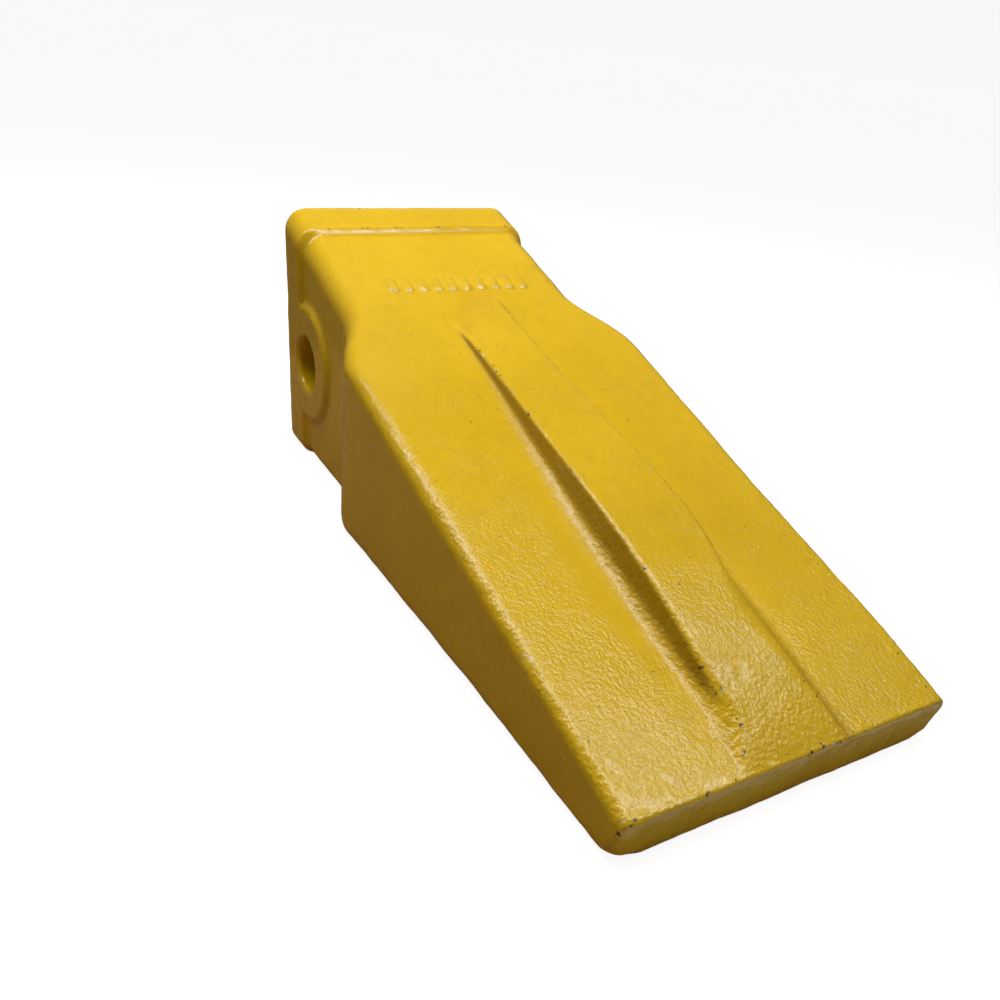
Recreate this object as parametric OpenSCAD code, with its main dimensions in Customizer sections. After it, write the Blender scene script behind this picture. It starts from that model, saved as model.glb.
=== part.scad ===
// Side-pinned digging tooth for an excavator bucket: a cast steel wedge with a nose socket, the lock
// pin that crosses the socket, and the two-piece retainer that holds the pin.
// X runs from the rear rim to the cutting edge, Y across the tooth, Z up. The tooth lies on its flat
// underside, and the origin is under the middle of it. Units are millimetres.

/* [Tooth] */
// Length from the top of the rear rim to the cutting edge
tooth_l = 254; // [246:1:262]
// Height of the rear rim
rear_h = 96; // [92:1:100]
// Lean of the rear face from upright, in degrees
rear_lean = 3.3; // [2:0.1:5]
// Fall of the top face from rear to front, in degrees
top_fall = 17.5; // [17:0.1:18]
// Width of the collar round the rear end
collar_w = 100; // [98:1:104]
// Length of the collar
collar_l = 16; // [12:1:20]
// How far the collar stands proud of the neck's sides
collar_step = 3; // [2:0.1:4]
// How far the collar stands proud of the neck's top
collar_lift = 1.8; // [1:0.1:2.5]
// Widest part of the blade, just in front of the neck
shoulder_w = 117; // [112:1:117]
// Distance from the rear rim to the shoulder
shoulder_x = 93; // [88:1:98]
// Width at the cutting edge
tip_w = 110.5; // [110:0.5:114]
// Rounding of the neck's long edges
neck_round = 8; // [6:0.5:9]
// Rounding of the blade's long edges
blade_round = 5; // [3:0.5:6]
// Rounding at the cutting edge
tip_round = 2; // [2:0.1:3]

/* [Centre rib] */
// Width of the rib's foot at its front end
rib_w = 31; // [28:1:33]
// Width of the rib's foot at its rear end
rib_rear_w = 25; // [22:1:28]
// Side draft of the rib, in degrees
rib_draft = 9; // [5:1:15]
// Where the rib's crest leaves the top face, from the rear rim
rib_from = 62; // [56:1:72]
// Where the crest stands highest
rib_peak = 182; // [174:1:190]
// Where the crest comes back to the top face
rib_to = 248; // [242:1:252]
// Height of the crest over the top face
rib_rise = 8.6; // [7:0.2:10]

/* [Nose socket] */
// Width of the socket between the ears
socket_w = 70; // [66:1:72]
// Width of the socket at its front end
socket_tip_w = 52; // [44:1:58]
// Depth of the socket
socket_l = 148; // [138:1:150]
// Wall under the socket
floor_t = 11; // [10:1:13]
// Wall over the socket, measured straight up
roof_t = 12; // [11:1:14]

/* [Lock pin] */
// Diameter of the pin
pin_d = 20; // [19:0.5:20]
// Diameter of the bore through the ears
bore_d = 21; // [21:0.1:21.4]
// Distance of the pin from the rear rim
pin_x = 25; // [24:0.5:27]
// Height of the pin over the underside
pin_z = 40.5; // [39:0.5:42]
// How far the driven end sits below the ear's outer face
pin_recess = 9; // [8:0.5:10]
// How far the locked end sits below the other ear's outer face
far_recess = 3; // [2:0.5:3]
// Diameter of the round ear pad
pad_d = 45; // [43:1:47]

/* [Retainer] */
// Diameter of the retainer pocket in the ear
pocket_d = 38; // [37:1:40]
// Depth of the retainer pocket
pocket_l = 7.6; // [7.2:0.1:8]
// Width of the split ring
ring_t = 3.6; // [3:0.1:3.8]
// Radial thickness of the split ring
ring_wall = 5; // [4:0.1:5.5]
// Opening of the split ring, in degrees
ring_gap = 40; // [30:5:60]

/* [Hidden] */
$fn = 96;
eps = 0.01;

// trimming shapes run past what they trim by over, and reach and far are longer than the tooth
over = 10;
reach = 160;
far = 400;

neck_w = collar_w - 2 * collar_step;
rear_top_z = rear_h - collar_lift;
rim_back = rear_h * sin(rear_lean);
ear_in = socket_w / 2;
ear_out = collar_w / 2;
flare_x = 66;
face_lean = 1.6;

// socket: straight as far as nose_box_l, then tapered, with a floor that rises
nose_box_l = 60;
floor_rise = 3;

// rib: its crest climbs in a straight line and then bows over, as part of a large cylinder
rib_climb_l = (rib_peak - rib_from) / cos(top_fall);
rib_fall_l = (rib_to - rib_peak) / cos(top_fall);
rib_l = rib_climb_l + rib_fall_l;
rib_r = (rib_fall_l * rib_fall_l / rib_rise + rib_rise) / 2;
rib_depth = rib_r - rib_rise;
rib_climb = asin(rib_r / norm([rib_climb_l, rib_depth])) - atan2(rib_depth, rib_climb_l);
rib_straight = sqrt(rib_climb_l * rib_climb_l + rib_depth * rib_depth - rib_r * rib_r);
rib_below = 3;

// pin, from the driven end to the locked end
pin_from = -(ear_out - pin_recess);
pin_to = ear_out - far_recess;
pin_chamfer = 2;
groove_depth = 1.5;
groove_w = ring_t + 0.8;
ring_mid = ear_in + pocket_l / 2;
play = 0.3;
ring_in = pin_d / 2 - groove_depth + play;
ring_out = ring_in + ring_wall;
cushion_in = pin_d / 2 + 2 * play;
cushion_out = pocket_d / 2 - play;
cushion_from = ear_in + play;
cushion_to = ear_in + pocket_l - play;
mouth_chamfer = 1.2;

// height of the top face at a distance x from the rear rim
function top_z(x) = rear_top_z - x * tan(top_fall);

// puts a shape drawn from the rear rim into the tooth's own frame
module place() {
    translate([-tooth_l / 2, 0, 0]) children();
}

// a pair of things mirrored across the middle of the tooth
module both_sides() {
    children();
    mirror([0, 1, 0]) children();
}

// a quarter of the plane, left of and below the origin, with its corner rounded
module quarter(r) {
    translate([-reach, -reach]) square([reach, reach - r]);
    translate([-reach, -reach]) square([reach - r, reach]);
    translate([-r, -r]) circle(r);
}

// a long solid under a top face that falls by fall degrees, bounded on its +Y side by a rounded
// edge that starts at the origin and turns outward by turn degrees
module edge_solid(fall, turn, r) {
    rotate([0, fall, 0]) rotate([0, 0, atan(tan(turn) * cos(fall))])
        translate([-reach, 0, 0]) rotate([90, 0, 90]) linear_extrude(3 * reach) quarter(r);
}

// the stretch from x0 to x1 between the sloping top face and the flat underside, as wide as w0
// at x0 and w1 at x1, with rounded long edges
module stretch(x0, w0, x1, w1, r_top, r_low, lift = 0) {
    turn = atan((w1 - w0) / 2 / (x1 - x0));
    intersection() {
        translate([x0, w0 / 2, top_z(x0) + lift]) edge_solid(top_fall, turn, r_top);
        mirror([0, 1, 0])
            translate([x0, w0 / 2, top_z(x0) + lift]) edge_solid(top_fall, turn, r_top);
        translate([x0, w0 / 2, 0]) mirror([0, 0, 1]) edge_solid(0, turn, r_low);
        mirror([0, 1, 0]) translate([x0, w0 / 2, 0]) mirror([0, 0, 1]) edge_solid(0, turn, r_low);
        translate([x0, -reach, -over]) cube([x1 - x0, 2 * reach, reach]);
    }
}

// side view of the blade, with a rounded cutting edge whose foot sits a little behind its top
module blade_side() {
    r = tip_round;
    low = [tooth_l - r - face_lean, r];
    high = [tooth_l - r, top_z(tooth_l - r) - r / cos(top_fall)];
    ahead = r * [high[1] - low[1], low[0] - high[0]] / norm(high - low);
    polygon([
        [shoulder_x, 0], [low[0], 0], low + ahead, high + ahead,
        high + r * [sin(top_fall), cos(top_fall)], [shoulder_x, top_z(shoulder_x)]]);
    translate(low) circle(r);
    translate(high) circle(r);
}

// the wedge in front of the shoulder
module blade_block() {
    intersection() {
        stretch(shoulder_x, shoulder_w, tooth_l, tip_w, blade_round, blade_round);
        rotate([90, 0, 0]) linear_extrude(2 * reach, center = true) blade_side();
    }
}

// the box that carries the socket, run back past the rim so that it can be cut to a flat face
module neck_block() {
    stretch(-over, neck_w, shoulder_x + over, neck_w, neck_round, neck_round);
}

// the flare from the neck out to the shoulder
module flare_block() {
    stretch(flare_x, neck_w, shoulder_x + eps, shoulder_w, blade_round, blade_round);
}

// a raised band round the rear end, with its front edge parallel to the rear face
module collar() {
    intersection() {
        stretch(-over, collar_w, 2 * collar_l, collar_w, neck_round, neck_round, collar_lift);
        translate([rim_back, 0, 0]) rotate([0, -rear_lean, 0])
            translate([-far, -far / 2, -far / 2]) cube([far + collar_l, far, far]);
    }
}

// the round pad on each ear
module ear_pads() {
    both_sides()
        translate([pin_x, 0, pin_z]) rotate([-90, 0, 0])
            cylinder(h = ear_out, d = pad_d);
}

// the space on the inner side of the rib's drafted +Y flank
module rib_flank() {
    turn = atan((rib_w - rib_rear_w) / 2 / rib_l);
    translate([0, rib_rear_w / 2, 0]) rotate([rib_draft, 0, turn])
        translate([-reach, -reach, -reach]) cube([far, reach, 2 * reach]);
}

// side view of the rib over the top face, from its rear end
module rib_side() {
    touch = rib_straight * [cos(rib_climb), sin(rib_climb)];
    intersection() {
        union() {
            translate([rib_climb_l, -rib_depth]) circle(rib_r, $fn = 720);
            polygon([[0, -rib_below], [0, 0], touch, [touch[0], -rib_below]]);
        }
        translate([0, -rib_below]) square([rib_l, rib_below + 2 * rib_rise]);
    }
}

// the bowed rib along the middle of the top face
module centre_rib() {
    translate([rib_from, 0, top_z(rib_from)]) rotate([0, top_fall, 0]) intersection() {
        rotate([90, 0, 0]) linear_extrude(2 * rib_w, center = true) rib_side();
        rib_flank();
        mirror([0, 1, 0]) rib_flank();
    }
}

// the space behind the leaning rear face
module behind_rim() {
    translate([rim_back, 0, 0]) rotate([0, -rear_lean, 0])
        translate([-far, -far / 2, -far / 2]) cube([far, far, far]);
}

// the tapered hollow that takes the adapter's nose
module socket() {
    intersection() {
        rotate([90, 0, 0]) linear_extrude(2 * reach, center = true)
            polygon([
                [-over, floor_t], [nose_box_l, floor_t], [socket_l, floor_t + floor_rise],
                [socket_l, top_z(socket_l) - roof_t], [-over, top_z(-over) - roof_t]]);
        linear_extrude(reach)
            polygon([
                [-over, -ear_in], [nose_box_l, -ear_in], [socket_l, -socket_tip_w / 2],
                [socket_l, socket_tip_w / 2], [nose_box_l, ear_in], [-over, ear_in]]);
    }
}

// a widening mouth at the outer end of a bore
module bore_mouth() {
    r = bore_d / 2;
    w = mouth_chamfer;
    rotate_extrude() polygon([[0, 0], [r, 0], [r + 2 * w, 2 * w], [0, 2 * w]]);
}

// bores through both ears, with the retainer pocket in one of them
module pin_bores() {
    translate([pin_x, 0, pin_z]) {
        rotate([90, 0, 0]) cylinder(h = 2 * (ear_out + over), d = bore_d, center = true);
        translate([0, ear_in - over, 0]) rotate([-90, 0, 0])
            cylinder(h = over + pocket_l, d = pocket_d);
        both_sides()
            translate([0, ear_out - mouth_chamfer, 0]) rotate([-90, 0, 0]) bore_mouth();
    }
}

module tooth_casting() {
    color("goldenrod") place() difference() {
        union() {
            blade_block();
            neck_block();
            flare_block();
            collar();
            ear_pads();
            centre_rib();
        }
        behind_rim();
        socket();
        pin_bores();
    }
}

// solid of revolution on the pin's axis, drawn as [distance along Y, radius]
module turned(outline) {
    place() translate([pin_x, 0, pin_z]) rotate([-90, 0, 0])
        rotate_extrude() polygon([for (p = outline) [p[1], p[0]]]);
}

module lock_pin() {
    r = pin_d / 2;
    c = pin_chamfer;
    g = groove_w / 2;
    color("dimgray") turned([
        [pin_from, 0], [pin_from, r - c], [pin_from + c, r],
        [ring_mid - g, r], [ring_mid - g, r - groove_depth],
        [ring_mid + g, r - groove_depth], [ring_mid + g, r],
        [pin_to - c, r], [pin_to, r - c], [pin_to, 0]]);
}

module retainer_ring() {
    h = ring_t / 2;
    color("slategray") place() translate([pin_x, ring_mid, pin_z]) rotate([-90, 0, 0])
        rotate([0, 0, 90 + ring_gap / 2])
            rotate_extrude(angle = 360 - ring_gap)
                polygon([[ring_in, -h], [ring_out, -h], [ring_out, h], [ring_in, h]]);
}

module retainer_cushion() {
    h = ring_t / 2;
    color("orangered") turned([
        [cushion_from, cushion_in], [cushion_from, cushion_out], [cushion_to, cushion_out],
        [cushion_to, cushion_in], [ring_mid + h, cushion_in], [ring_mid + h, ring_out],
        [ring_mid - h, ring_out], [ring_mid - h, cushion_in]]);
}

tooth_casting();
lock_pin();
retainer_ring();
retainer_cushion();
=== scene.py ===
"""Looks of the digging tooth: a cast, yellow-painted wedge with its lock pin and retainer.

The casting's visible skin is a fine mesh of its own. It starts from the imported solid, is drawn onto
a smooth distance field with the fillets and edge rounding of a sand casting, and then gets the
relief of the cast and painted surface. Lengths in the field are in millimetres, with x measured
from the rear rim.
"""

import math

import bpy
import numpy as np
from mathutils import Matrix, Vector


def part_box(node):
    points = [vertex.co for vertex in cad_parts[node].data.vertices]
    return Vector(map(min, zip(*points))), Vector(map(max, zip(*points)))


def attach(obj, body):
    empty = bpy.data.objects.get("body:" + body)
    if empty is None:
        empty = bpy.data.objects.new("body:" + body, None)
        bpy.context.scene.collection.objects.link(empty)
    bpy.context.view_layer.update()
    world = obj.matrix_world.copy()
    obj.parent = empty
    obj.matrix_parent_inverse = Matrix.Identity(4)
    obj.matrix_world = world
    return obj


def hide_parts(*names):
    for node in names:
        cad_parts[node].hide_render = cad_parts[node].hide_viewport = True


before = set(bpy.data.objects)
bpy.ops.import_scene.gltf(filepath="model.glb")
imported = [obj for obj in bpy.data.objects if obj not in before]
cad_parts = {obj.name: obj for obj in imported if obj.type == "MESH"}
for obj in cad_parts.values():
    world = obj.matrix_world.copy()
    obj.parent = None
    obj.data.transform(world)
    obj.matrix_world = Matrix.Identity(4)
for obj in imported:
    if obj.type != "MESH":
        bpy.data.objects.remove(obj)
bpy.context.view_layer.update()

MM = 0.001
CAST_LOW, CAST_HIGH = (np.array(c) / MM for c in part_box("tooth_casting"))
PIN_LOW, PIN_HIGH = (np.array(c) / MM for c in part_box("lock_pin"))
RIM_X = CAST_LOW[0]

# the tooth's driving sizes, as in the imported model: lengths in millimetres
LENGTH = CAST_HIGH[0] - CAST_LOW[0]
REAR_H = CAST_HIGH[2]
FALL = math.radians(17.5)
LEAN = math.radians(3.3)
REAR_TOP = REAR_H - 1.8
RIM_BACK = REAR_H * math.sin(LEAN)
PIN_X = (PIN_LOW[0] + PIN_HIGH[0]) / 2 - RIM_X
PIN_Z = (PIN_LOW[2] + PIN_HIGH[2]) / 2
PIN_R = (PIN_HIGH[0] - PIN_LOW[0]) / 2
BORE_R = PIN_R + 0.5

# outline and edges of the casting; SIDE_SCALE turns a gap across the flared sides into a distance
COLLAR_HALF, COLLAR_L, COLLAR_LIFT = 50.0, 16.0, 1.8
SIDE_SCALE = 0.985
NECK_HALF, SHOULDER_HALF, TIP_HALF = 48.2, 58.6, 55.2
FLARE_FROM, FLARE_TO = 60.0, 94.0
NECK_ROUND, BLADE_ROUND, LOW_ROUND = 8.0, 5.0, 5.0

# cutting edge: its height, how far its foot sits back, how far the top dips to it, how much the
# long edges sharpen toward it, and its roundings at the top, the foot, the corners and the foot's
# corners
TIP_Z = REAR_TOP - LENGTH * math.tan(FALL)
FACE_LEAN, TIP_DIP = 1.6, 0.5
TOP_SHARPEN, LOW_SHARPEN = 2.4, 2.0
TIP_EDGE, FOOT_EDGE, CORNER_EDGE, FOOT_CORNER_EDGE = 0.45, 1.3, 0.6, 4.2

# ear pads, collar and rear rim
PAD_R, PAD_EDGE = 22.5, 1.5
COLLAR_EDGE, COLLAR_FILLET, RIM_EDGE = 1.2, 2.7, 1.6

# centre rib: its crest climbs in a straight line, then bows over as part of a large circle
RIB_FROM, RIB_PEAK, RIB_TO, RIB_RISE = 62.0, 182.0, 251.5, 8.6
RIB_DRAFT = math.radians(9)
RIB_CLIMB_L = (RIB_PEAK - RIB_FROM) / math.cos(FALL)
RIB_FALL_L = (RIB_TO - RIB_PEAK) / math.cos(FALL)
RIB_R = (RIB_FALL_L**2 / RIB_RISE + RIB_RISE) / 2
RIB_DEPTH = RIB_R - RIB_RISE
RIB_TURN = math.asin(RIB_R / math.hypot(RIB_CLIMB_L, RIB_DEPTH))
RIB_CLIMB = RIB_TURN - math.atan2(RIB_DEPTH, RIB_CLIMB_L)
RIB_TOUCH = math.sqrt(RIB_CLIMB_L**2 + RIB_DEPTH**2 - RIB_R**2) * math.cos(RIB_CLIMB)
RIB_EDGE, RIB_FILLET, RIB_ROOT = 1.6, 4.3, 12.0
RIB_HALF, RIB_WIDEN, RIB_FLARE = 12.5, 3.2, 2.0
RIB_EASE_RIGHT, RIB_EASE_LEFT, RIB_SINK_LEFT = 0.5, 0.85, 1.7

# nose socket, and the retainer's pocket, which has room for the cushion at its rounded corner
SOCKET_HALF, SOCKET_TIP_HALF = 35.0, 26.0
SOCKET_BOX, SOCKET_L = 60.0, 148.0
FLOOR_T, ROOF_T, FLOOR_RISE = 11.0, 12.0, 3.0
SOCKET_CORNER, SOCKET_END_CORNER, SOCKET_EDGE = 7.0, 8.0, 1.5
POCKET_R, POCKET_L, POCKET_EDGE = 19.35, 7.95, 0.4
BORE_MOUTH = 2.2

# row of raised bars across the neck
MARK_X, MARK_Y, MARK_HALF_L, MARK_RISE = 53.0, 1.0, 3.8, 0.95
MARK_PITCH, MARK_COUNT = 6.0, 10

# studio light: the softboxes' turn about the upright, and the colours below and above the floor
PANEL_TURN = -32
WORLD_LOW, WORLD_HIGH = (0.13, 0.085, 0.05), (0.14, 0.14, 0.16)

# camera: its place in metres and its directions, from the perspective fit
CAMERA_SPOT = (0.2296, -0.159, 0.1636)
CAMERA_LOOK = (-0.75477, 0.46949, -0.45815)
CAMERA_RIGHT = (0.48511, 0.86961, 0.09196)
LENS_MM, SENSOR_MM = 32.4, 36

# mesh of the casting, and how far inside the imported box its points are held
VOXEL = 0.0008
MAX_TRIANGLES = 195_000
BOX_GAP = 0.02


# ---- distance field -------------------------------------------------------------------------


def ramp(t):
    """Smooth step from 0 to 1."""
    t = np.clip(t, 0, 1)
    return t * t * (3 - 2 * t)


def join(a, b, r):
    """Union of two fields with a round fillet of radius r."""
    r = np.maximum(r, 1e-3)
    corner = np.hypot(np.maximum(r - a, 0), np.maximum(r - b, 0))
    return np.maximum(r, np.minimum(a, b)) - corner


def meet(a, b, r):
    """Intersection of two fields with its edge rounded to radius r."""
    r = np.maximum(r, 1e-3)
    corner = np.hypot(np.maximum(r + a, 0), np.maximum(r + b, 0))
    return np.minimum(-r, np.maximum(a, b)) + corner


def cut(a, b, r):
    """Field a with b taken out of it, the mouth's edge rounded to radius r."""
    return meet(a, -b, r)


def top_z(x):
    return REAR_TOP - x * math.tan(FALL)


def outline_half(x):
    """Half the width of the neck and blade at x."""
    flare = ramp((x - FLARE_FROM) / (FLARE_TO - FLARE_FROM))
    blade = (x - FLARE_TO) / (LENGTH - FLARE_TO)
    taper = (TIP_HALF - SHOULDER_HALF) * np.clip(blade, 0, 1.1)
    return NECK_HALF + (SHOULDER_HALF - NECK_HALF) * flare + taper


def rib_height(x):
    """How far the rib's crest stands above the top face at x."""
    along = (x - RIB_FROM) / math.cos(FALL)
    reach = np.clip(along - RIB_CLIMB_L, -RIB_R, RIB_R)
    bow = np.sqrt(RIB_R**2 - reach * reach) - RIB_DEPTH
    return np.where(along < RIB_TOUCH, along * math.tan(RIB_CLIMB), bow)


def body_field(x, y, z):
    """Neck and blade: top face, underside and outline."""
    front = ramp((x - 60) / 40)
    edge = NECK_ROUND + (BLADE_ROUND - NECK_ROUND) * front - TOP_SHARPEN * ramp((x - 150) / 90)
    side = (np.abs(y) - outline_half(x)) * SIDE_SCALE
    top = (z - top_z(x) + TIP_DIP * ramp((x - 225) / 30)) * math.cos(FALL)
    return meet(meet(side, top, edge), -z, LOW_ROUND - LOW_SHARPEN * ramp((x - 190) / 50))


def face_field(x, z):
    """The blunt front face at the cutting edge, its foot a little behind its top."""
    turn = math.atan2(FACE_LEAN, TIP_Z)
    return (x - LENGTH) * math.cos(turn) + (TIP_Z - z) * math.sin(turn)


def rib_field(x, y, z):
    """Rib over the top face: steep on its -Y side, softer toward the front on its +Y side."""
    above = (z - top_z(x)) * math.cos(FALL)
    along = (x - RIB_FROM) / math.cos(FALL) - above * math.tan(FALL)
    bow = np.hypot(along - RIB_CLIMB_L, above + RIB_DEPTH) - RIB_R
    climb = above * math.cos(RIB_CLIMB) - along * math.sin(RIB_CLIMB)
    climb = climb + RIB_SINK_LEFT * ramp((94 - x) / 26) * ramp((2 - y) / 14)
    crest = np.where(along < RIB_TOUCH, climb, bow)
    half = RIB_HALF + RIB_WIDEN * ramp((x - 85) / 100) + RIB_FLARE * ramp((x - 228) / 26) * (y < 0)
    draft = RIB_DRAFT + RIB_EASE_RIGHT * ramp((x - 185) / 35) * ramp(y / 6)
    draft = draft + RIB_EASE_LEFT * ramp((x - 226) / 18) * ramp(-y / 6)
    side = (np.abs(y) - half) * np.cos(draft) + above * np.sin(draft)
    edge = RIB_EDGE + 1.3 * ramp((130 - x) / 50) + 1.8 * ramp((x - 190) / 30) * ramp(y / 8)
    rib = meet(crest, side, np.clip(rib_height(x) * 0.5, 0.2, edge))
    return np.maximum(rib, -above - RIB_ROOT)


def collar_field(x, y, z):
    """Raised band round the rear end."""
    top = (z - top_z(x)) * math.cos(FALL) - COLLAR_LIFT * math.cos(FALL)
    side = np.abs(y) - COLLAR_HALF
    along = (x - RIM_BACK) * math.cos(LEAN) + z * math.sin(LEAN)
    band = meet(meet(side, top, NECK_ROUND), -z, LOW_ROUND)
    return meet(band, along - COLLAR_L, COLLAR_EDGE)


def socket_field(x, y, z):
    """Tapered hollow that takes the adapter's nose."""
    taper = np.clip((x - SOCKET_BOX) / (SOCKET_L - SOCKET_BOX), 0, 1.3)
    side = np.abs(y) - SOCKET_HALF + (SOCKET_HALF - SOCKET_TIP_HALF) * taper
    roof = (z - top_z(x) + ROOF_T) * math.cos(FALL)
    floor = FLOOR_T + FLOOR_RISE * taper - z
    walls = meet(meet(side, roof, SOCKET_CORNER), floor, SOCKET_CORNER)
    return meet(walls, x - SOCKET_L, SOCKET_END_CORNER)


def tooth_field(p):
    """Signed distance, roughly, from the casting's surface: negative inside."""
    x, y, z = p[:, 0], p[:, 1], p[:, 2]
    rib_fillet = np.clip(rib_height(x) * 0.6, 0.02, RIB_FILLET)
    f = join(body_field(x, y, z), rib_field(x, y, z), rib_fillet)
    low = np.clip(1 - z / 10, 0, 1)
    corner = (CORNER_EDGE + FOOT_CORNER_EDGE * low) * ramp((np.abs(y) - 46) / 8)
    tip_edge = TIP_EDGE + FOOT_EDGE * low + corner
    f = meet(f, face_field(x, z), tip_edge)
    axle = np.hypot(x - PIN_X, z - PIN_Z)
    pad = meet(axle - PAD_R, np.abs(y) - COLLAR_HALF, PAD_EDGE)
    f = join(f, np.minimum(collar_field(x, y, z), pad), COLLAR_FILLET)
    ahead = (x - RIM_BACK) * math.cos(LEAN) + z * math.sin(LEAN)
    f = meet(f, -ahead, RIM_EDGE)
    f = cut(f, socket_field(x, y, z), SOCKET_EDGE)
    pocket = np.maximum(axle - POCKET_R, np.abs(y - SOCKET_HALF) - POCKET_L)
    f = cut(f, pocket, POCKET_EDGE)
    return cut(f, axle - BORE_R, BORE_MOUTH)


def gradient(field, p, h=0.06):
    """Slope of a field at each point, from differences over h to each side."""
    g = np.empty_like(p)
    for axis in range(3):
        step = np.zeros(3)
        step[axis] = h
        g[:, axis] = (field(p + step) - field(p - step)) / (2 * h)
    return g


def onto(field, p, rounds):
    """Moves points to where the field is zero."""
    for _ in range(rounds):
        f = field(p)
        g = gradient(field, p)
        length = np.maximum(np.einsum("ij,ij->i", g, g), 0.25)
        step = np.clip(f / length, -0.8, 0.8)
        p = p - g * step[:, None]
    return p


# ---- noise ----------------------------------------------------------------------------------


def lattice(cell, seed):
    """A pseudo-random gradient for each lattice cell."""
    n = cell[:, 0] * 374761393 + cell[:, 1] * 668265263 + cell[:, 2] * 2147483647 + seed * 974634777
    n = (n ^ (n >> 13)) * 1274126177
    n = n ^ (n >> 16)
    a = (n & 1023) * (2 * math.pi / 1024)
    c = ((n >> 10) & 1023) / 511.5 - 1
    s = np.sqrt(1 - np.minimum(c * c, 1))
    return np.stack([s * np.cos(a), s * np.sin(a), c], 1)


def perlin(p, size, seed=0):
    """Gradient noise from -1 to 1, with features about size across."""
    q = p / size
    base = np.floor(q).astype(np.int64)
    f = q - base
    w = f * f * f * (f * (f * 6 - 15) + 10)
    total = np.zeros(len(p))
    for corner in np.ndindex(2, 2, 2):
        k = np.array(corner)
        dot = (lattice(base + k, seed) * (f - k)).sum(1)
        weight = np.prod(np.where(k, w, 1 - w), axis=1)
        total += weight * dot
    return total * 1.5


# ---- casting --------------------------------------------------------------------------------


def to_rim(co):
    """Row frame in metres to millimetres from the rear rim."""
    return co / MM - np.array([RIM_X, 0, 0])


def from_rim(p):
    return (p + np.array([RIM_X, 0, 0])) * MM


def voxel_copy(node, size):
    """A fine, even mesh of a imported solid."""
    obj = bpy.data.objects.new("casting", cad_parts[node].data.copy())
    bpy.context.scene.collection.objects.link(obj)
    remesh = obj.modifiers.new("remesh", "REMESH")
    remesh.mode = "VOXEL"
    remesh.voxel_size = size
    bpy.context.view_layer.update()
    graph = bpy.context.evaluated_depsgraph_get()
    obj.data = bpy.data.meshes.new_from_object(obj.evaluated_get(graph))
    obj.modifiers.clear()
    return obj


def coordinates(mesh):
    """The mesh's points, one row each."""
    co = np.empty(len(mesh.vertices) * 3)
    mesh.vertices.foreach_get("co", co)
    return co.reshape(-1, 3)


def edge_pairs(mesh):
    """The two points of each edge of the mesh."""
    pairs = np.empty(len(mesh.edges) * 2, np.int64)
    mesh.edges.foreach_get("vertices", pairs)
    return pairs.reshape(-1, 2)


def relax(p, pairs, rounds, amount=0.5):
    """Evens out a mesh's points among their neighbours."""
    count = np.bincount(pairs.ravel(), minlength=len(p))
    for _ in range(rounds):
        total = np.empty_like(p)
        for axis in range(3):
            a = np.bincount(pairs[:, 0], p[pairs[:, 1], axis], len(p))
            b = np.bincount(pairs[:, 1], p[pairs[:, 0], axis], len(p))
            total[:, axis] = a + b
        p = p + amount * (total / count[:, None] - p)
    return p


def convexity(field, p, h=1.6):
    """Above zero on outer edges, below zero in fillets, near zero on flats."""
    total = -6 * field(p)
    for axis in range(3):
        step = np.zeros(3)
        step[axis] = h
        total += field(p + step) + field(p - step)
    return total / (h * h)


def outside(p):
    """1 on the painted skin, 0 in the socket and in the bores past the pin's ends."""
    x, y, z = p.T
    bore = np.hypot(x - PIN_X, z - PIN_Z) - BORE_R + 3 * ramp((np.abs(y) - 41) / 2)
    inner = np.minimum(socket_field(x, y, z), bore)
    return ramp((inner - 0.8) / 2)


def roughness_map(p):
    """How rough the cast skin is: smooth on the neck and in the valleys, rough at the front."""
    x, y, z = p.T
    forward = ramp((x - 98) / 88)
    along = ramp((x - 95) / 35)
    valley = np.exp(-(((np.abs(y) - 24) / 4) ** 2)) * along * ramp((235 - x) / 30)
    fillet = np.exp(-(((np.abs(y) - 18) / 3) ** 2)) * along
    border = ramp((np.abs(y) - outline_half(x) + 9) / 5) * ramp((x - 80) / 40)
    on_top = ramp((z - top_z(x) + 3) / 2)
    base = 0.3 + (0.1 + 0.9 * forward - 0.3) * on_top
    base = base * (1 - 0.75 * valley) * (0.85 + 0.4 * perlin(p, 26, 5))
    clusters = 0.7 * ramp((perlin(p, 17, 41) - 0.12) / 0.25) * (1 - 0.5 * forward)
    base += on_top * (clusters + 0.8 * fillet + 0.6 * border * (0.4 + 0.6 * forward))
    base += 0.6 * ramp((x - LENGTH + 3) / 2) * (1 - on_top)
    return np.clip(base, 0.05, 1.3)


def relief(p, edge):
    """Height of the cast skin over the smooth form, in millimetres."""
    x, y, z = p.T
    rough = roughness_map(p)
    skin = outside(p)
    height = 0.22 * perlin(p, 42, 1) + 0.13 * perlin(p, 17, 2)
    height = height + rough * (0.05 * perlin(p, 6.5, 11) + 0.055 * perlin(p, 3.4, 17))
    outer = np.clip(edge * 6, 0, 1)
    height += outer * (0.13 * perlin(p, 9, 23) + 0.09 * perlin(p, 3.8, 24))
    tip = ramp((x - LENGTH + 3) / 2.5)
    height += tip * (0.16 * perlin(p, 11, 31) + 0.12 * perlin(p, 4.2, 32))
    trough = np.exp(-(((np.abs(y) - 19) / 4.2) ** 2)) * ramp((x - 100) / 40) * ramp((246 - x) / 25)
    top_skin = ramp((z - top_z(x) + 2) / 1.5)
    height -= 0.4 * trough * top_skin
    return height * (0.45 + 0.55 * skin)


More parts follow.
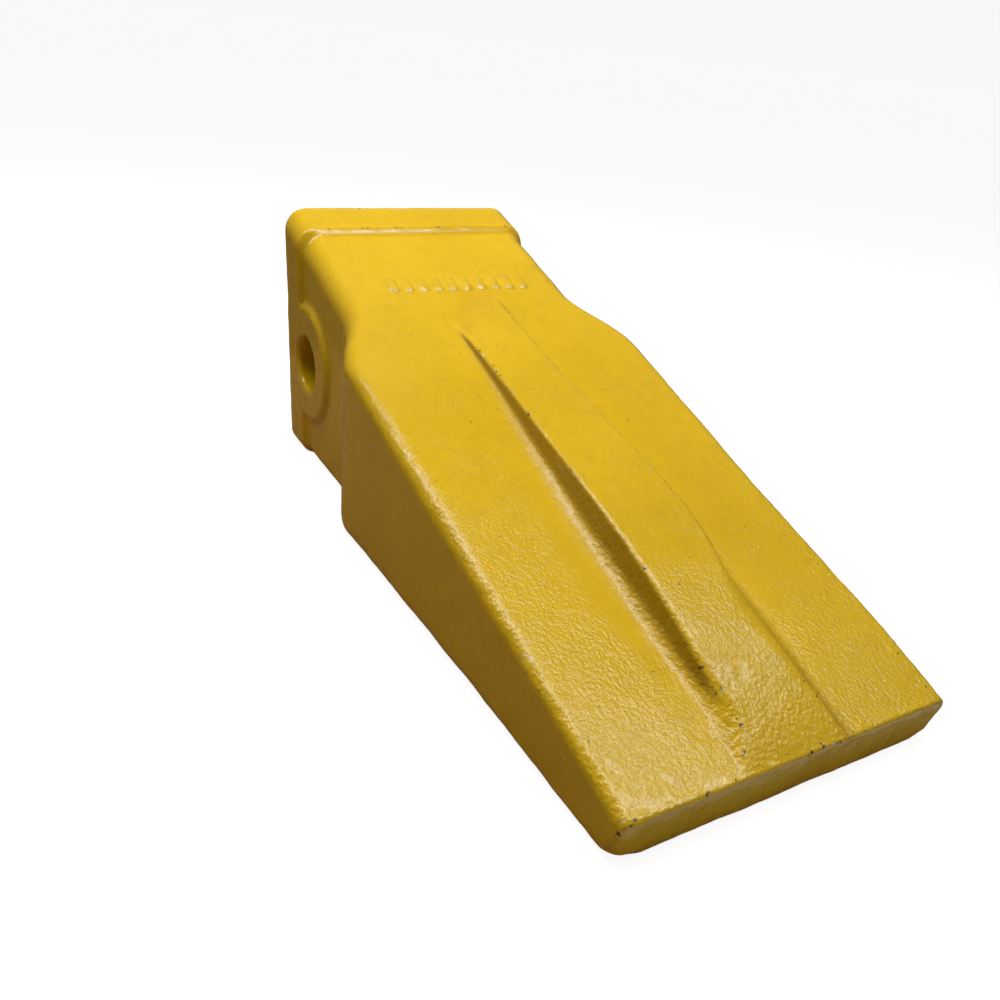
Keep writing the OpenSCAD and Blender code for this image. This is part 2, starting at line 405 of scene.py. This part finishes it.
def mark_height(p):
    """A plain row of raised bars across the neck, in place of cast lettering."""
    x, y, z = p.T
    row = (y - MARK_Y) / MARK_PITCH + MARK_COUNT / 2
    cell = row - np.floor(row)
    inside = (row > 0) & (row < MARK_COUNT)
    bar = ramp((0.5 - np.abs(cell - 0.5) * 1.55) / 0.13)
    along = ramp((MARK_HALF_L - np.abs(x - MARK_X - 0.03 * y)) / 0.7)
    on_top = ramp((z - top_z(x) + 1.5) / 1.0)
    return MARK_RISE * np.where(inside, bar, 0) * along * on_top


def flank_map(p, normal):
    """1 on the steep flanks of the rib and less along its foot: the mask for painted shade there."""
    x, y, z = p.T
    steep = ramp((np.abs(normal[:, 1]) - 0.55) / 0.35)
    near = ramp((22 - np.abs(y)) / 3) * ramp((z - top_z(x) + 2) / 1.5)
    left = steep * (1 - ramp((x - 228) / 12) * (y < 0))
    foot = 0.6 * np.exp(-(((y - 16.6) / 2.0) ** 2)) * ramp((x - 170) / 50)
    return np.clip(left + foot, 0, 1) * near


def unit_normals(field, p):
    """Outward unit directions of a field at each point."""
    g = gradient(field, p)
    return g / np.maximum(np.linalg.norm(g, axis=1), 1e-6)[:, None]


def add_attribute(mesh, name, values):
    """Stores one number per point, for the paint to read."""
    layer = mesh.attributes.new(name, "FLOAT", "POINT")
    layer.data.foreach_set("value", values.astype(np.float32))


def thin_out(obj, limit):
    """Collapses the flattest parts until the mesh has at most limit triangles."""
    triangles = sum(len(f.vertices) - 2 for f in obj.data.polygons)
    if triangles <= limit:
        return
    fewer = obj.modifiers.new("fewer", "DECIMATE")
    fewer.ratio = limit / triangles
    bpy.context.view_layer.update()
    graph = bpy.context.evaluated_depsgraph_get()
    obj.data = bpy.data.meshes.new_from_object(obj.evaluated_get(graph))
    obj.modifiers.clear()


def make_casting(material):
    """The casting's visible skin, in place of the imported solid."""
    obj = voxel_copy("tooth_casting", VOXEL)
    p = to_rim(coordinates(obj.data))
    pairs = edge_pairs(obj.data)
    p = onto(tooth_field, p, 4)
    for _ in range(3):
        p = onto(tooth_field, relax(p, pairs, 1), 1)
    p = onto(tooth_field, p, 2)
    edge = convexity(tooth_field, p)
    height = relief(p, edge) + mark_height(p)
    p = p + unit_normals(tooth_field, p) * height[:, None]
    rim = np.array([RIM_X, 0, 0])
    p = np.clip(p, CAST_LOW + BOX_GAP - rim, CAST_HIGH - BOX_GAP - rim)
    obj.data.vertices.foreach_set("co", from_rim(p).ravel())
    obj.data.update()
    thin_out(obj, MAX_TRIANGLES)
    mesh = obj.data
    p = to_rim(coordinates(mesh))
    add_attribute(mesh, "edge", np.clip(convexity(tooth_field, p) * 3, -1, 1))
    add_attribute(mesh, "rough", roughness_map(p))
    add_attribute(mesh, "skin", outside(p))
    # painted shade mask: the rib's steep flanks and its foot, which the paint darkens
    add_attribute(mesh, "flank", flank_map(p, unit_normals(tooth_field, p)))
    mesh.materials.clear()
    mesh.materials.append(material)
    for face in mesh.polygons:
        face.use_smooth = True
    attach(obj, "tooth")
    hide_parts("tooth_casting")


# ---- materials ------------------------------------------------------------------------------


class Nodes:
    """A short way to write a node tree."""

    def __init__(self, name):
        self.material = bpy.data.materials.new(name)
        self.material.use_nodes = True
        self.tree = self.material.node_tree
        self.shader = self.tree.nodes["Principled BSDF"]
        coords = self.tree.nodes.new("ShaderNodeTexCoord")
        self.place = coords.outputs["Object"]

    def link(self, value, socket):
        if hasattr(value, "links"):
            self.tree.links.new(value, socket)
        else:
            socket.default_value = value

    def math(self, operation, a, b=0.0, clamp=False):
        node = self.tree.nodes.new("ShaderNodeMath")
        node.operation = operation
        node.use_clamp = clamp
        self.link(a, node.inputs[0])
        self.link(b, node.inputs[1])
        return node.outputs[0]

    def noise(self, size_mm, detail=2.0, rough=0.5, kind="FBM"):
        node = self.tree.nodes.new("ShaderNodeTexNoise")
        node.noise_type = kind
        self.link(self.place, node.inputs["Vector"])
        node.inputs["Scale"].default_value = 1000 / size_mm
        node.inputs["Detail"].default_value = detail
        node.inputs["Roughness"].default_value = rough
        return node.outputs[0]

    def spread(self, value, low, high, out_low=0.0, out_high=1.0):
        node = self.tree.nodes.new("ShaderNodeMapRange")
        self.link(value, node.inputs["Value"])
        node.inputs["From Min"].default_value = low
        node.inputs["From Max"].default_value = high
        node.inputs["To Min"].default_value = out_low
        node.inputs["To Max"].default_value = out_high
        return node.outputs[0]

    def attribute(self, name):
        node = self.tree.nodes.new("ShaderNodeAttribute")
        node.attribute_name = name
        return node.outputs["Fac"]

    def mix(self, share, a, b):
        node = self.tree.nodes.new("ShaderNodeMix")
        node.data_type = "RGBA"
        self.link(share, node.inputs["Factor"])
        for value, socket in ((a, node.inputs["A"]), (b, node.inputs["B"])):
            if isinstance(value, tuple):
                value = (*value, 1.0)
            self.link(value, socket)
        return node.outputs["Result"]

    def bump(self, height, strength, distance_mm, normal=None):
        node = self.tree.nodes.new("ShaderNodeBump")
        self.link(height, node.inputs["Height"])
        self.link(strength, node.inputs["Strength"])
        node.inputs["Distance"].default_value = distance_mm * MM
        if normal is not None:
            self.link(normal, node.inputs["Normal"])
        return node.outputs["Normal"]

    def set(self, name, value):
        self.link(value, self.shader.inputs[name])


def yellow_paint():
    """Glossy yellow enamel with orange peel, pits and small chips, and bare metal in the socket, with
    painted shade in the hollows and on the rib's flanks.
    """
    n = Nodes("yellow_paint")
    edge = n.attribute("edge")
    rough = n.attribute("rough")
    skin = n.attribute("skin")
    tone = n.spread(n.noise(45, 3), 0.35, 0.65)
    paint = n.mix(tone, (0.74, 0.46, 0.003), (0.80, 0.50, 0.005))
    blotch = n.spread(n.noise(5.5, 4, 0.6), 0.46, 0.72, 0, 0.35)
    paint = n.mix(blotch, paint, (0.62, 0.37, 0.002))
    # painted shade: darker paint in the fillets and other hollows, where the edge measure is concave
    painted_crease_shade = n.spread(edge, -0.15, -0.9, 0, 0.2)
    paint = n.mix(painted_crease_shade, paint, (0.55, 0.28, 0.006))
    # painted shade on the rib's steep flanks and along its foot
    flank = n.math("MULTIPLY", n.attribute("flank"), 0.85)
    paint = n.mix(flank, paint, (0.36, 0.20, 0.001))
    sharp = n.spread(edge, 0.7, 1.0, 0, 0.055)
    chips = n.math("GREATER_THAN", n.math("ADD", n.noise(1.3, 3, 0.6), sharp), 0.655)
    worn = n.math("GREATER_THAN", n.noise(11, 2, 0.5), 0.55)
    chips = n.math("MULTIPLY", n.math("MULTIPLY", chips, worn), n.spread(edge, 0.6, 0.75))
    pits = n.math("GREATER_THAN", n.noise(1.5, 1, 0.5), 0.785)
    spots = n.math("MAXIMUM", chips, n.math("MULTIPLY", pits, 0.8))
    steel = n.spread(n.noise(3.1, 1), 0.56, 0.62)
    chip_colour = n.mix(n.math("MULTIPLY", steel, chips), (0.09, 0.055, 0.02), (0.62, 0.58, 0.46))
    paint = n.mix(spots, paint, chip_colour)
    bare = n.mix(n.spread(n.noise(6, 4), 0.4, 0.6), (0.16, 0.10, 0.045), (0.34, 0.20, 0.05))
    n.set("Base Color", n.mix(skin, bare, paint))
    n.set("Roughness", n.spread(n.noise(9, 3), 0.3, 0.7, 0.13, 0.22))
    n.set("Coat Weight", 0.35)
    n.set("Coat Roughness", 0.07)
    peel = n.math("ADD", n.noise(1.35, 1, 0.5), n.math("MULTIPLY", n.noise(0.7, 1), 0.4))
    n.set("Normal", n.bump(peel, n.spread(rough, 0, 1.1, 0.05, 1.0), 0.34))
    return n.material


def dark_steel(name, light, dark, grain):
    """Rubbed dark steel; grain is the size of its fine marks in millimetres."""
    n = Nodes(name)
    worn = n.spread(n.noise(4, 5, 0.65), 0.38, 0.66)
    n.set("Base Color", n.mix(worn, dark, light))
    n.set("Metallic", 0.9)
    n.set("Roughness", n.spread(n.noise(2.5, 3), 0.3, 0.7, 0.34, 0.52))
    n.set("Normal", n.bump(n.noise(grain, 3), 0.3, 0.1))
    return n.material


def pin_steel():
    return dark_steel("pin_steel", (0.27, 0.265, 0.26), (0.15, 0.14, 0.135), 1.1)


def spring_steel():
    return dark_steel("spring_steel", (0.40, 0.40, 0.42), (0.16, 0.16, 0.17), 0.8)


def urethane():
    """Moulded orange urethane."""
    n = Nodes("urethane")
    tone = n.spread(n.noise(5, 3), 0.3, 0.7)
    n.set("Base Color", n.mix(tone, (0.42, 0.09, 0.02), (0.55, 0.14, 0.03)))
    n.set("Roughness", n.spread(n.noise(1.2, 2), 0.3, 0.7, 0.42, 0.6))
    n.set("Normal", n.bump(n.noise(0.9, 2), 0.25, 0.1))
    return n.material


# ---- stage ----------------------------------------------------------------------------------


def make_camera():
    """The camera stands ahead of the cutting edge, to the -Y side, and looks down at the tooth."""
    look = Vector(CAMERA_LOOK).normalized()
    right = Vector(CAMERA_RIGHT)
    right = (right - look * right.dot(look)).normalized()
    up = right.cross(look)
    data = bpy.data.cameras.new("camera")
    data.lens = LENS_MM
    data.sensor_width = SENSOR_MM
    data.clip_start = 0.01
    camera = bpy.data.objects.new("camera", data)
    turn = Matrix((right, up, -look)).transposed().to_4x4()
    camera.matrix_world = Matrix.Translation(Vector(CAMERA_SPOT)) @ turn
    bpy.context.scene.collection.objects.link(camera)
    bpy.context.scene.camera = camera


def show_to(obj, camera, reflections):
    """Which rays meet a stage piece: the camera's, or the ones that light and colour the tooth."""
    obj.visible_camera = camera
    obj.visible_diffuse = reflections
    obj.visible_glossy = reflections
    obj.visible_transmission = reflections


def area_light(name, spot, toward, turn, size, power, colour=(1, 1, 1)):
    """A rectangular softbox; turn is its rotation about the upright, in degrees."""
    data = bpy.data.lights.new(name, "AREA")
    data.shape = "RECTANGLE"
    data.size, data.size_y = size
    data.energy = power
    data.color = colour
    light = bpy.data.objects.new(name, data)
    aim = (Vector(toward) - Vector(spot)).to_track_quat("-Z", "Y").to_matrix().to_4x4()
    spin = Matrix.Rotation(math.radians(turn), 4, "Z")
    light.matrix_world = Matrix.Translation(spot) @ spin @ aim
    light.visible_camera = False
    bpy.context.scene.collection.objects.link(light)
    return light


def stage_sheet(name, half, centre, z):
    """A flat rectangle of the stage."""
    mesh = bpy.data.meshes.new(name)
    x, y = centre
    a, b = half
    corners = [(x - a, y - b, z), (x + a, y - b, z), (x + a, y + b, z), (x - a, y + b, z)]
    mesh.from_pydata(corners, [], [(0, 1, 2, 3)])
    sheet = bpy.data.objects.new(name, mesh)
    bpy.context.scene.collection.objects.link(sheet)
    return sheet


def make_card(name, half, centre, z, colour, glow=0.0):
    """A card on the floor that only the tooth sees, to colour its lower sides."""
    card = stage_sheet(name, half, centre, z)
    n = Nodes(name)
    n.set("Base Color", (*colour, 1))
    n.set("Roughness", 0.8)
    n.set("Emission Color", (*colour, 1))
    n.set("Emission Strength", glow)
    card.data.materials.append(n.material)
    show_to(card, camera=False, reflections=True)


def make_floor():
    """A pale floor for the camera, with two cards that colour the tooth's lower faces."""
    floor = stage_sheet("floor", (40, 40), (0, 0), 0)
    n = Nodes("pale_floor")
    n.set("Base Color", (0.3, 0.3, 0.3, 1))
    n.set("Roughness", 0.9)
    n.set("Specular IOR Level", 0.0)
    n.set("Emission Color", (1, 1, 1, 1))
    n.set("Emission Strength", 0.9)
    floor.data.materials.append(n.material)
    show_to(floor, camera=True, reflections=False)
    make_card("floor_card", (0.24, 0.13), (0.01, -0.03), -0.0005, (0.54, 0.32, 0.14))
    make_card("front_card", (0.05, 0.09), (0.182, 0.0), -0.0003, (0.72, 0.76, 0.84), 0.18)


def make_world():
    """Dim walls above the floor, warm and darker below it, and a pale distance for the camera."""
    world = bpy.data.worlds.new("studio")
    bpy.context.scene.world = world
    world.use_nodes = True
    tree = world.node_tree
    back = tree.nodes["Background"]
    coords = tree.nodes.new("ShaderNodeTexCoord")
    split = tree.nodes.new("ShaderNodeSeparateXYZ")
    tree.links.new(coords.outputs["Generated"], split.inputs[0])
    fade = tree.nodes.new("ShaderNodeValToRGB")
    tree.links.new(split.outputs["Z"], fade.inputs["Fac"])
    stops = fade.color_ramp.elements
    stops[0].position, stops[0].color = 0.0, (*WORLD_LOW, 1)
    stops[1].position, stops[1].color = 0.35, (*WORLD_HIGH, 1)
    ray = tree.nodes.new("ShaderNodeLightPath")
    mix = tree.nodes.new("ShaderNodeMix")
    mix.data_type = "RGBA"
    tree.links.new(ray.outputs["Is Camera Ray"], mix.inputs["Factor"])
    tree.links.new(fade.outputs["Color"], mix.inputs["A"])
    mix.inputs["B"].default_value = (0.93, 0.93, 0.93, 1)
    tree.links.new(mix.outputs["Result"], back.inputs["Color"])


def make_stage():
    """Camera, floor, background and three softboxes."""
    bpy.context.scene.view_settings.view_transform = "Standard"
    make_camera()
    make_floor()
    make_world()
    over = (-0.019, -0.022)
    area_light("overhead", (*over, 0.6), (*over, 0), PANEL_TURN, (0.29, 1.25), 1.4)
    strip = (-0.028, -0.016)
    area_light("strip", (*strip, 0.59), (*strip, 0), PANEL_TURN, (0.07, 1.1), 1.45)
    rear = area_light("rear", (-0.24, 0.0, 0.45), (-0.1, 0, 0.08), PANEL_TURN, (0.25, 0.3), 1.25)
    rear.visible_glossy = False


FINISH_MAKERS = {
    "lock_pin": pin_steel,
    "retainer_ring": spring_steel,
    "retainer_cushion": urethane,
}

make_stage()
make_casting(yellow_paint())
for node_name, finish in FINISH_MAKERS.items():
    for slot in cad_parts[node_name].material_slots:
        slot.material = finish()
